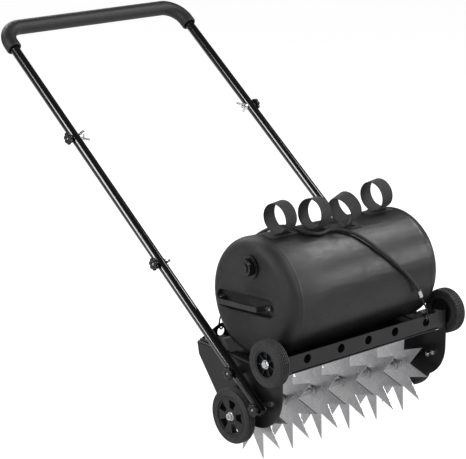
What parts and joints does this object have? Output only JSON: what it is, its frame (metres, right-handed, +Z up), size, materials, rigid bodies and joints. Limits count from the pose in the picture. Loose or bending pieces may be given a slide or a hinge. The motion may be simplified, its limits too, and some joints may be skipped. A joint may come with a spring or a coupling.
{
  "type": "lawn spike roller",
  "caption": "Push lawn roller: spiked discs on a shaft between side plates, a water-filled ballast bag on top, lower and front wheels and a long U handle with a foam grip.",
  "frame": {"origin": "on the ground, under the middle of the whole roller with its handle", "axes": "+X along the spike shaft towards the bag end without the valve, -Y forwards to the front bar, +Y back to the handle, +Z up"},
  "size_m": [0.7146, 1.291, 1.0457],
  "materials": {
    "plate_paint": "satin black powder coat",
    "zinc": "bright zinc plate",
    "wing_zinc": "bright zinc plate",
    "bush_plastic": "moulded black nylon",
    "galvanised": "galvanised sheet steel",
    "tyre_rubber": "matt black",
    "wheel_plastic": "moulded black",
    "tube_gloss": "gloss black powder coat",
    "knob_plastic": "moulded black",
    "grip_foam": "closed-cell foam",
    "bag_fabric": "satin coated fabric",
    "foot_rubber": "matt dark grey",
    "valve_plastic": "moulded black",
    "gasket_rubber": "soft",
    "strap_plastic": "moulded black",
    "webbing": "woven hook-and-loop",
    "cord_braid": "braided sheath",
    "hook_wire": "black plastic-dipped wire"
  },
  "bodies": {
    "frame": {"left_side_plate": "plate_paint", "right_side_plate": "plate_paint", "front_bar": "plate_paint", "rear_bar": "plate_paint", "deck_plate": "plate_paint", "bar_bolts": "zinc", "plate_bolts": "zinc", "lock_nuts": "zinc", "shaft_bushes": "bush_plastic", "tube_saddles": "bush_plastic", "tube_plugs": "bush_plastic", "left_lower_tube": "tube_gloss", "right_lower_tube": "tube_gloss", "left_middle_tube": "tube_gloss", "right_middle_tube": "tube_gloss", "top_tube": "tube_gloss", "foam_grip": "grip_foam", "front_axle_bolts": "zinc", "front_axle_nuts": "zinc", "front_axle_spacers": "zinc", "stretch_cord": "cord_braid", "cord_ferrules": "zinc", "cord_hooks": "hook_wire"},
    "spike_roller": {"spike_shaft": "galvanised", "disc_collars": "galvanised", "retaining_rings": "zinc", "star_disc_1": "galvanised", "star_disc_2": "galvanised", "star_disc_3": "galvanised", "star_disc_4": "galvanised", "star_disc_5": "galvanised", "star_disc_6": "galvanised"},
    "ballast": {"ballast_bag": "bag_fabric", "bag_feet": "foot_rubber", "valve_neck": "valve_plastic", "valve_gasket": "gasket_rubber", "grab_handle": "strap_plastic", "grab_screws": "zinc", "strap_loops": "webbing"},
    "valve_cap": {"valve_cap": "valve_plastic"},
    "left_lower_wheel": {"left_lower_wheel_tyre": "tyre_rubber", "left_lower_wheel_hub": "wheel_plastic"},
    "left_front_wheel": {"left_front_wheel_tyre": "tyre_rubber", "left_front_wheel_hub": "wheel_plastic"},
    "left_foot_knob": {"left_foot_knob": "knob_plastic"},
    "left_plate_knob": {"left_plate_knob": "knob_plastic"},
    "left_lower_joint_knob": {"left_lower_joint_knob": "knob_plastic"},
    "left_upper_joint_knob": {"left_upper_joint_knob": "knob_plastic"},
    "left_lower_wing_nut": {"left_lower_wing_nut": "wing_zinc"},
    "left_upper_wing_nut": {"left_upper_wing_nut": "wing_zinc"},
    "right_lower_wheel": {"right_lower_wheel_tyre": "tyre_rubber", "right_lower_wheel_hub": "wheel_plastic"},
    "right_front_wheel": {"right_front_wheel_tyre": "tyre_rubber", "right_front_wheel_hub": "wheel_plastic"},
    "right_foot_knob": {"right_foot_knob": "knob_plastic"},
    "right_plate_knob": {"right_plate_knob": "knob_plastic"},
    "right_lower_joint_knob": {"right_lower_joint_knob": "knob_plastic"},
    "right_upper_joint_knob": {"right_upper_joint_knob": "knob_plastic"},
    "right_lower_wing_nut": {"right_lower_wing_nut": "wing_zinc"},
    "right_upper_wing_nut": {"right_upper_wing_nut": "wing_zinc"}
  },
  "joints": [
    {"name": "spike_roller_turn", "type": "hinge", "parent": "frame", "child": "spike_roller", "pos_m": [0, -0.44707, 0.12982], "axis": [1, 0, 0], "continuous": true},
    {"name": "bag_lift", "type": "slide", "parent": "frame", "child": "ballast", "axis": [0, 0, 1], "range_m": [0, 0.05], "deforming": ["stretch_cord"]},
    {"name": "valve_cap_turn", "type": "hinge", "parent": "ballast", "child": "valve_cap", "pos_m": [-0.3, -0.45457, 0.536], "axis": [1, 0, 0], "range_deg": [-360, 0]},
    {"name": "left_lower_wheel_turn", "type": "hinge", "parent": "frame", "child": "left_lower_wheel", "pos_m": [-0.335, -0.44707, 0.12982], "axis": [1, 0, 0], "continuous": true},
    {"name": "left_front_wheel_turn", "type": "hinge", "parent": "frame", "child": "left_front_wheel", "pos_m": [-0.33, -0.58207, 0.314], "axis": [1, 0, 0], "continuous": true},
    {"name": "left_foot_knob_turn", "type": "hinge", "parent": "frame", "child": "left_foot_knob", "pos_m": [-0.345, -0.54618, 0.17974], "axis": [1, 0, 0], "range_deg": [-180, 180]},
    {"name": "left_plate_knob_turn", "type": "hinge", "parent": "frame", "child": "left_plate_knob", "pos_m": [-0.345, -0.44561, 0.25228], "axis": [1, 0, 0], "range_deg": [-180, 180]},
    {"name": "left_lower_joint_knob_turn", "type": "hinge", "parent": "frame", "child": "left_lower_joint_knob", "pos_m": [-0.345, -0.13091, 0.47924], "axis": [1, 0, 0], "range_deg": [-180, 180]},
    {"name": "left_upper_joint_knob_turn", "type": "hinge", "parent": "frame", "child": "left_upper_joint_knob", "pos_m": [-0.345, 0.25921, 0.76061], "axis": [1, 0, 0], "range_deg": [-180, 180]},
    {"name": "left_lower_wing_nut_turn", "type": "hinge", "parent": "frame", "child": "left_lower_wing_nut", "pos_m": [-0.313, -0.13091, 0.47924], "axis": [1, 0, 0], "range_deg": [-180, 180]},
    {"name": "left_upper_wing_nut_turn", "type": "hinge", "parent": "frame", "child": "left_upper_wing_nut", "pos_m": [-0.313, 0.25921, 0.76061], "axis": [1, 0, 0], "range_deg": [-180, 180]},
    {"name": "right_lower_wheel_turn", "type": "hinge", "parent": "frame", "child": "right_lower_wheel", "pos_m": [0.335, -0.44707, 0.12982], "axis": [1, 0, 0], "continuous": true},
    {"name": "right_front_wheel_turn", "type": "hinge", "parent": "frame", "child": "right_front_wheel", "pos_m": [0.33, -0.58207, 0.314], "axis": [1, 0, 0], "continuous": true},
    {"name": "right_foot_knob_turn", "type": "hinge", "parent": "frame", "child": "right_foot_knob", "pos_m": [0.345, -0.54618, 0.17974], "axis": [1, 0, 0], "range_deg": [-180, 180]},
    {"name": "right_plate_knob_turn", "type": "hinge", "parent": "frame", "child": "right_plate_knob", "pos_m": [0.345, -0.44561, 0.25228], "axis": [1, 0, 0], "range_deg": [-180, 180]},
    {"name": "right_lower_joint_knob_turn", "type": "hinge", "parent": "frame", "child": "right_lower_joint_knob", "pos_m": [0.345, -0.13091, 0.47924], "axis": [1, 0, 0], "range_deg": [-180, 180]},
    {"name": "right_upper_joint_knob_turn", "type": "hinge", "parent": "frame", "child": "right_upper_joint_knob", "pos_m": [0.345, 0.25921, 0.76061], "axis": [1, 0, 0], "range_deg": [-180, 180]},
    {"name": "right_lower_wing_nut_turn", "type": "hinge", "parent": "frame", "child": "right_lower_wing_nut", "pos_m": [0.313, -0.13091, 0.47924], "axis": [1, 0, 0], "range_deg": [-180, 180]},
    {"name": "right_upper_wing_nut_turn", "type": "hinge", "parent": "frame", "child": "right_upper_wing_nut", "pos_m": [0.313, 0.25921, 0.76061], "axis": [1, 0, 0], "range_deg": [-180, 180]}
  ]
}
